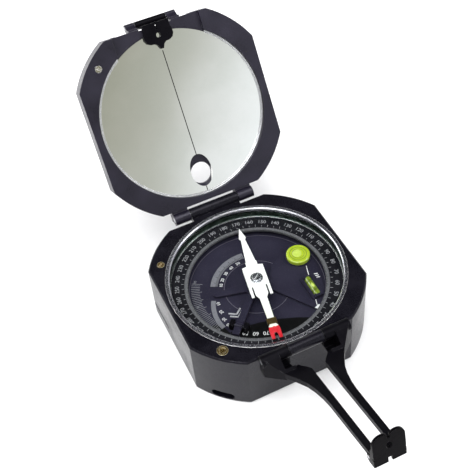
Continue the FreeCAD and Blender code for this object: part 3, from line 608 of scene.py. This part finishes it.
def round_level_details():
    """The bubble on the round level's face, a little off its middle, and the two rings around it."""
    centre, half = box_of("round_level_vial")
    face = Matrix.Translation((centre.x, centre.y, centre.z + half.z))
    dome = [(1.75, -0.02), (1.72, 0.05), (1.5, 0.10), (1.0, 0.14), (0.5, 0.16), (0, 0.165)]
    offset = Matrix.Translation((-0.35 * MM, 0.3 * MM, 0))
    add_piece("round_bubble", "clinometer", BUBBLE_LOOK, round_mesh(dome), face @ offset)
    for name, inner, outer in (("round_level_ring", 2.2, 2.38), ("round_level_step", 3.0, 3.22)):
        ring = [(inner, 0.0), (inner, 0.03), (outer, 0.03), (outer, 0.0)]
        add_piece(name, "clinometer", LEVEL_INK, round_mesh(ring), face)


def tube_level_details():
    """The tube level's bubble, near its upper side, and a pair of lines at each end of it."""
    centre, half = box_of("tube_level_vial")
    axis = Matrix.Translation((centre.x, centre.y, centre.z + half.z - half.x))
    along_y = Matrix.Rotation(math.pi / 2, 4, "X")
    bubble = [(0, -2.1), (0.5, -2.0), (0.85, -1.5), (0.95, 0), (0.85, 1.5), (0.5, 2.0), (0, 2.1)]
    rise = Matrix.Translation((0, 0, 0.42 * MM))
    add_piece("tube_bubble", "clinometer", BUBBLE_LOOK, round_mesh(bubble, 24),
              axis @ rise @ along_y)
    inner, outer, half_width = 1.302, 1.325, 0.06
    line = [(inner, -half_width), (outer, -half_width), (outer, half_width), (inner, half_width)]
    for index, y in enumerate((-2.5, -2.1, 2.1, 2.5)):
        place = axis @ Matrix.Translation((0, y * MM, 0)) @ along_y
        add_piece("tube_line_%d" % index, "clinometer", DARK_INK_AND_SHADE, round_mesh(line, 32), place)


# ---------------------------------------------------------------- lid
LID_GAP = 0.2
MIRROR_DEPTH = 1.4
WINDOW_Y = 22.6
WINDOW_HALF_LENGTH = 6.4
LINE_FRONT, LINE_REAR = -24.4, 30.75


def on_open_lid(z_metres):
    """Maps the closed lid's (x, y), at a height above the case's underside, to the lid as it stands open."""
    hinge = Vector(joints["lid_hinge"]["pos_m"])
    opened = math.radians(joints["lid_hinge"]["range_deg"][1])
    swing = Matrix.Translation(hinge) @ Matrix.Rotation(-opened, 4, "X") @ Matrix.Translation(-hinge)
    face_down = Matrix.Diagonal((1, 1, -1, 1))
    return swing @ at_height(z_metres) @ face_down


def mirror_line():
    """The sighting line down the mirror, broken by the window."""
    mirror_face = top_of("bezel_ring") + (LID_GAP + MIRROR_DEPTH) * MM
    marks = Marks()
    marks.line((0, LINE_FRONT), (0, WINDOW_Y - WINDOW_HALF_LENGTH), 0.32)
    marks.line((0, WINDOW_Y + WINDOW_HALF_LENGTH), (0, LINE_REAR), 0.32)
    marks.done("mirror_line", "lid", DARK_INK_AND_SHADE, on_open_lid(mirror_face))


# ---------------------------------------------------------------- stage and light
# Lengths in metres.
FLOOR_HALF = 3.0
FLOOR_DROP = 0.0002
AIM = Vector((0, 0, 0.03))
TOWARDS_DIM_PATCH = (0.26, 0.54, 0.80)
TOWARDS_PANEL = (0.2325, -0.8819, 0.4137)


def make_floor():
    """A plain paper floor just under the case."""
    mesh = bpy.data.meshes.new("floor")
    corners = [(x * FLOOR_HALF, y * FLOOR_HALF, 0) for x, y in ((-1, -1), (1, -1), (1, 1), (-1, 1))]
    mesh.from_pydata(corners, [], [(0, 1, 2, 3)])
    floor = bpy.data.objects.new("floor", mesh)
    floor.location = (0, 0, -FLOOR_DROP)
    scene.collection.objects.link(floor)
    look = Material("paper_floor")
    grain = look.noise(3.0, 3.0)
    color = look.mix(look.between(grain, 0.0, 1.0), (0.95, 0.95, 0.95), (0.93, 0.93, 0.935))
    mesh.materials.append(look.principled(Base_Color=color, Roughness=look.between(grain, 0.75, 0.85)))


def make_world():
    """Soft white surroundings, dimmer overhead, with the shaded panel that the mirror faces."""
    world = bpy.data.worlds.new("studio")
    scene.world = world
    studio = NodeTree(world)
    direction = studio.node("TexCoord").outputs["Generated"]
    parts = studio.node("SeparateXYZ", {0: direction}).outputs
    sideways, upwards = parts[0], parts[2]

    height = studio.between(upwards, 0.0, 1.0, 0.02, 0.75)
    sky = studio.ramp(height, [(0.0, (1.08, 1.08, 1.08)), (1.0, (0.20, 0.20, 0.22))])
    shade = studio.between(studio.dot(direction, TOWARDS_DIM_PATCH), 1.0, 0.15, 0.86, 0.97)
    dimmed = studio.node("VectorMath", {0: sky, "Scale": shade}, operation="SCALE").outputs[0]

    to_the_right = studio.between(sideways, 0.0, 0.62, 0.12, 0.34)
    downwards = studio.between(upwards, 0.0, 0.38, 0.51, 0.33)
    blotch = studio.node("TexNoise", {"Vector": direction, "Scale": 5.0, "Detail": 2.0}).outputs[0]
    drift = studio.between(blotch, -0.12, 0.12)
    brightness = studio.math("ADD", studio.math("ADD", to_the_right, downwards), drift)
    panel = studio.ramp(brightness, [(0.0, (0.36, 0.355, 0.28)), (0.46, (0.60, 0.61, 0.565)),
                                     (1.0, (1.34, 1.38, 1.46))])

    mask = studio.between(studio.dot(direction, TOWARDS_PANEL), 0.0, 1.0, 0.90, 0.965)
    background = studio.node("Background", {0: studio.mix(mask, dimmed, panel), 1: 0.9})
    studio.finish(background, "OutputWorld")


def make_light(name, kind, position, size, energy):
    """A square area light size metres wide, or a sun whose soft disc spans size degrees."""
    data = bpy.data.lights.new(name, kind)
    data.energy = energy
    if kind == "SUN":
        data.angle = math.radians(size)
    else:
        data.shape = "SQUARE"
        data.size = size
    light = bpy.data.objects.new(name, data)
    scene.collection.objects.link(light)
    light.location = position
    light.rotation_euler = (AIM - Vector(position)).to_track_quat("-Z", "Y").to_euler()


make_camera()
dress_nodes()
azimuth_marks()
# Print on the dial, and the patch of painted shade at its front.
for draw_marks in (scale_bands, scale_figures, fan_ticks, dial_circles, dial_front_zone, dial_chevrons):
    draw_marks(top_of("dial_plate"))
clinometer_marks()
round_level_details()
tube_level_details()
mirror_line()
make_floor()
make_world()
make_light("softbox", "SUN", (-0.35, -0.25, 1.3), 62, 3.7)
make_light("fill", "AREA", (0.9, -0.4, 0.9), 0.7, 7)
make_light("back_fill", "AREA", (-0.9, 0.7, 0.7), 0.6, 5)
scene.view_settings.view_transform = "Standard"
